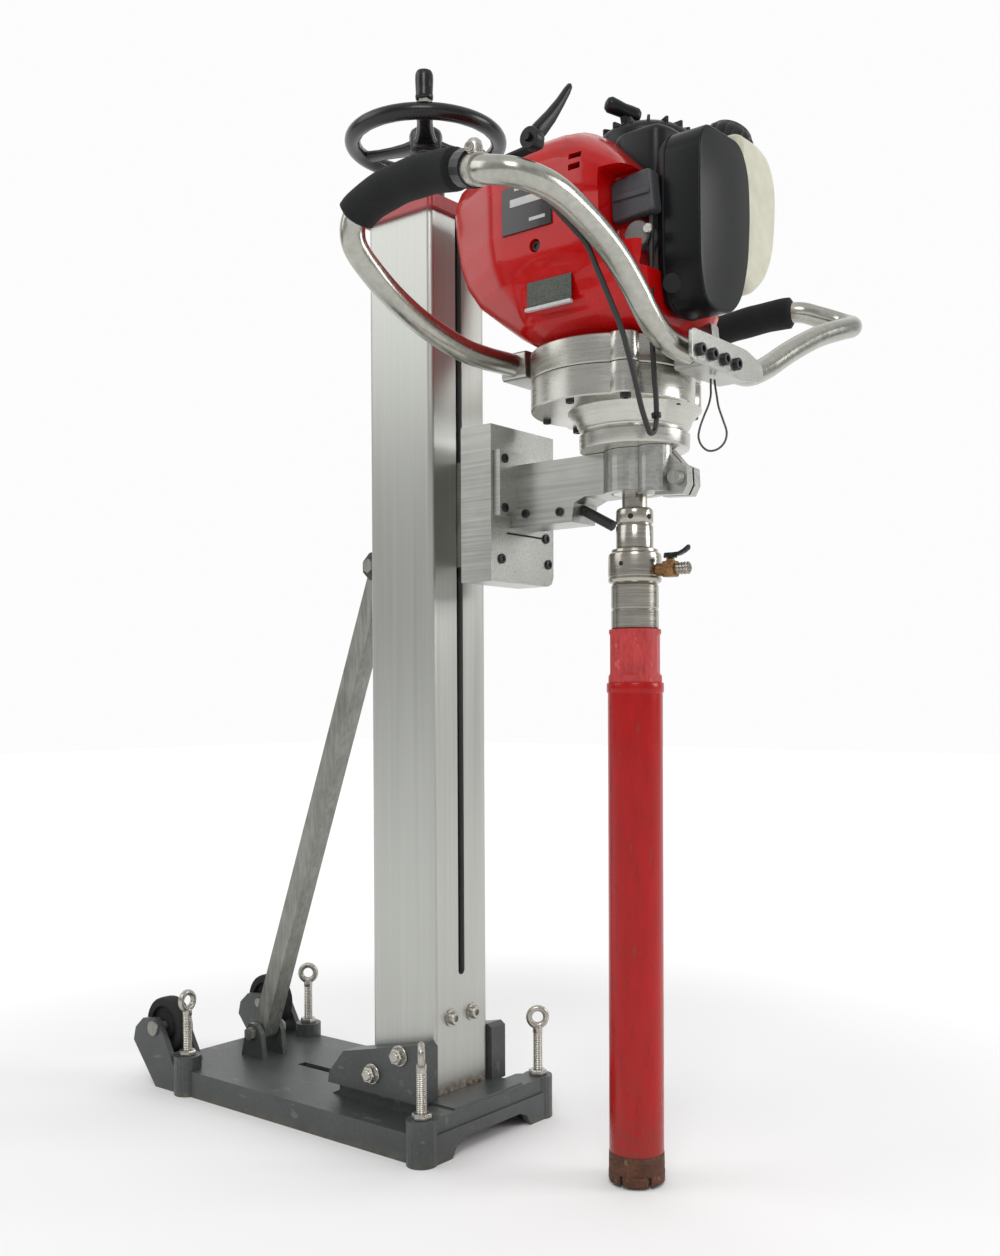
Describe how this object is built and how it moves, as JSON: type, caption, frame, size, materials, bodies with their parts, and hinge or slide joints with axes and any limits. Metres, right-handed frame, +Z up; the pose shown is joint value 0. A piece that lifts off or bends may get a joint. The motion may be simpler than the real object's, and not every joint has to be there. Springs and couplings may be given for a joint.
{
  "type": "engine core drill on a column stand",
  "caption": "Small petrol engine core drill with two handlebars on a slotted column stand, fed down a leadscrew by a handwheel, with a long red coring tube.",
  "frame": {"origin": "on the underside of the base, below the column's centre line", "axes": "+Z up along the column, drill on the -Y side, handles towards +X and -X"},
  "size_m": [0.5931, 0.773, 1.106],
  "materials": {
    "cast_grey": "grey enamel on a casting",
    "aluminium": "brushed and machined",
    "steel": "plain turned steel",
    "bright_steel": "bright zinc plate",
    "rubber": "hard black rubber",
    "red_paint": "gloss red paint",
    "black_paint": "satin black paint",
    "black_plastic": "satin moulded plastic",
    "bronze": "plain bearing bronze",
    "brass": "worn brass",
    "diamond_matrix": "sintered bronze matrix, worn brown",
    "grey_plastic": "moulded plastic",
    "red_plastic": "gloss moulded plastic",
    "tank_plastic": "milky translucent plastic",
    "chrome": "chrome plated tube",
    "foam": "closed-cell foam",
    "cable_sheath": "smooth black sheath"
  },
  "bodies": {
    "stand": {"base_plate": "cast_grey", "column": "aluminium", "screw_foot_block": "steel", "foot_screw_left": "bright_steel", "foot_screw_right": "bright_steel", "cheek_bolt_front": "bright_steel", "cheek_bolt_rear": "bright_steel", "wheel_axle_left": "steel", "wheel_axle_right": "steel", "brace_strut": "steel", "brace_clevis": "cast_grey", "brace_pin_foot": "steel", "brace_pin_top": "steel", "top_plate": "red_paint", "bearing_housing": "black_paint"},
    "carriage": {"carriage_plate": "aluminium", "slide_block": "steel", "lead_nut": "bronze", "drill_arm": "aluminium", "clamp_screw": "steel", "stop_rod": "black_paint", "gear_case_upper": "aluminium", "gear_case_lower": "aluminium", "swivel_body": "bright_steel", "swivel_ring": "bright_steel", "tap_body": "brass", "crankcase": "grey_plastic", "engine_shroud": "red_plastic", "side_cover": "black_plastic", "fuel_tank": "tank_plastic", "recoil_housing": "black_plastic", "carburettor": "grey_plastic", "handlebar_left": "chrome", "handlebar_right": "chrome", "grip_left": "foam", "grip_right": "foam", "bracket_front": "aluminium", "bracket_rear": "aluminium", "throttle_cable": "cable_sheath", "hanging_wire": "steel", "lever_mount": "black_plastic"},
    "feed_screw": {"leadscrew": "steel", "handwheel": "black_plastic"},
    "crank_knob": {"crank_knob": "black_plastic"},
    "spindle": {"output_spindle": "steel", "bit_adapter": "bright_steel", "core_bit": "red_paint", "bit_crown": "diamond_matrix"},
    "layshaft": {"layshaft": "steel"},
    "crankshaft": {"crankshaft": "steel"},
    "tap_lever": {"tap_lever": "black_plastic"},
    "fuel_cap": {"fuel_cap": "black_plastic"},
    "recoil_grip": {"recoil_grip": "black_plastic"},
    "throttle_lever": {"throttle_lever": "black_plastic"},
    "wheel_left": {"wheel_left": "rubber"},
    "wheel_right": {"wheel_right": "rubber"},
    "levelling_front_left": {"levelling_screw_front_left": "bright_steel"},
    "levelling_front_right": {"levelling_screw_front_right": "bright_steel"},
    "levelling_rear_left": {"levelling_screw_rear_left": "bright_steel"},
    "levelling_rear_right": {"levelling_screw_rear_right": "bright_steel"}
  },
  "joints": [
    {"name": "handwheel_turn", "type": "hinge", "parent": "stand", "child": "feed_screw", "pos_m": [0, 0, 1.066], "axis": [0, 0, 1], "range_deg": [-2161, 14401]},
    {"name": "carriage_slide", "type": "slide", "parent": "stand", "child": "carriage", "axis": [0, 0, 1], "range_m": [-0.4, 0.06]},
    {"name": "knob_spin", "type": "hinge", "parent": "feed_screw", "child": "crank_knob", "pos_m": [-0.05962, -0.05183, 1.09], "axis": [0, 0, 1], "continuous": true},
    {"name": "spindle_spin", "type": "hinge", "parent": "carriage", "child": "spindle", "pos_m": [0, -0.266, 0.755], "axis": [0, 0, 1], "continuous": true},
    {"name": "layshaft_spin", "type": "hinge", "parent": "carriage", "child": "layshaft", "pos_m": [-0.0315, -0.23822, 0.765], "axis": [0, 0, 1], "continuous": true},
    {"name": "crank_spin", "type": "hinge", "parent": "carriage", "child": "crankshaft", "pos_m": [0, -0.266, 0.78], "axis": [0, 0, 1], "continuous": true},
    {"name": "tap_turn", "type": "hinge", "parent": "carriage", "child": "tap_lever", "pos_m": [0, -0.3055, 0.598], "axis": [0, 0, 1], "range_deg": [0, 90]},
    {"name": "fuel_cap_turn", "type": "hinge", "parent": "carriage", "child": "fuel_cap", "pos_m": [0.051, -0.329, 0.974], "axis": [0.4198, -0.1799, 0.8896], "continuous": true},
    {"name": "starter_pull", "type": "slide", "parent": "carriage", "child": "recoil_grip", "axis": [-0.4208, 0.1002, 0.9016], "range_m": [0, 0.025], "stiffness_N_per_m": 60, "springref_m": -0.01},
    {"name": "throttle_squeeze", "type": "hinge", "parent": "carriage", "child": "throttle_lever", "pos_m": [-0.262, -0.344, 0.889], "axis": [1, 0, 0], "range_deg": [0, 28], "stiffness_Nm_per_rad": 0.4, "springref_deg": -11.46},
    {"name": "wheel_left_spin", "type": "hinge", "parent": "stand", "child": "wheel_left", "pos_m": [-0.08, 0.354, 0.07], "axis": [1, 0, 0], "continuous": true},
    {"name": "wheel_right_spin", "type": "hinge", "parent": "stand", "child": "wheel_right", "pos_m": [0.08, 0.354, 0.07], "axis": [1, 0, 0], "continuous": true},
    {"name": "level_front_left", "type": "slide", "parent": "stand", "child": "levelling_front_left", "axis": [0, 0, 1], "range_m": [-0.012, 0.02]},
    {"name": "level_front_right", "type": "slide", "parent": "stand", "child": "levelling_front_right", "axis": [0, 0, 1], "range_m": [-0.012, 0.02]},
    {"name": "level_rear_left", "type": "slide", "parent": "stand", "child": "levelling_rear_left", "axis": [0, 0, 1], "range_m": [-0.012, 0.02]},
    {"name": "level_rear_right", "type": "slide", "parent": "stand", "child": "levelling_rear_right", "axis": [0, 0, 1], "range_m": [-0.012, 0.02]}
  ],
  "couplings": [
    {"joint": "handwheel_turn", "follows": "carriage_slide", "rad_per_m": -628.32},
    {"joint": "layshaft_spin", "follows": "spindle_spin", "ratio": -2},
    {"joint": "crank_spin", "follows": "spindle_spin", "ratio": 5}
  ]
}
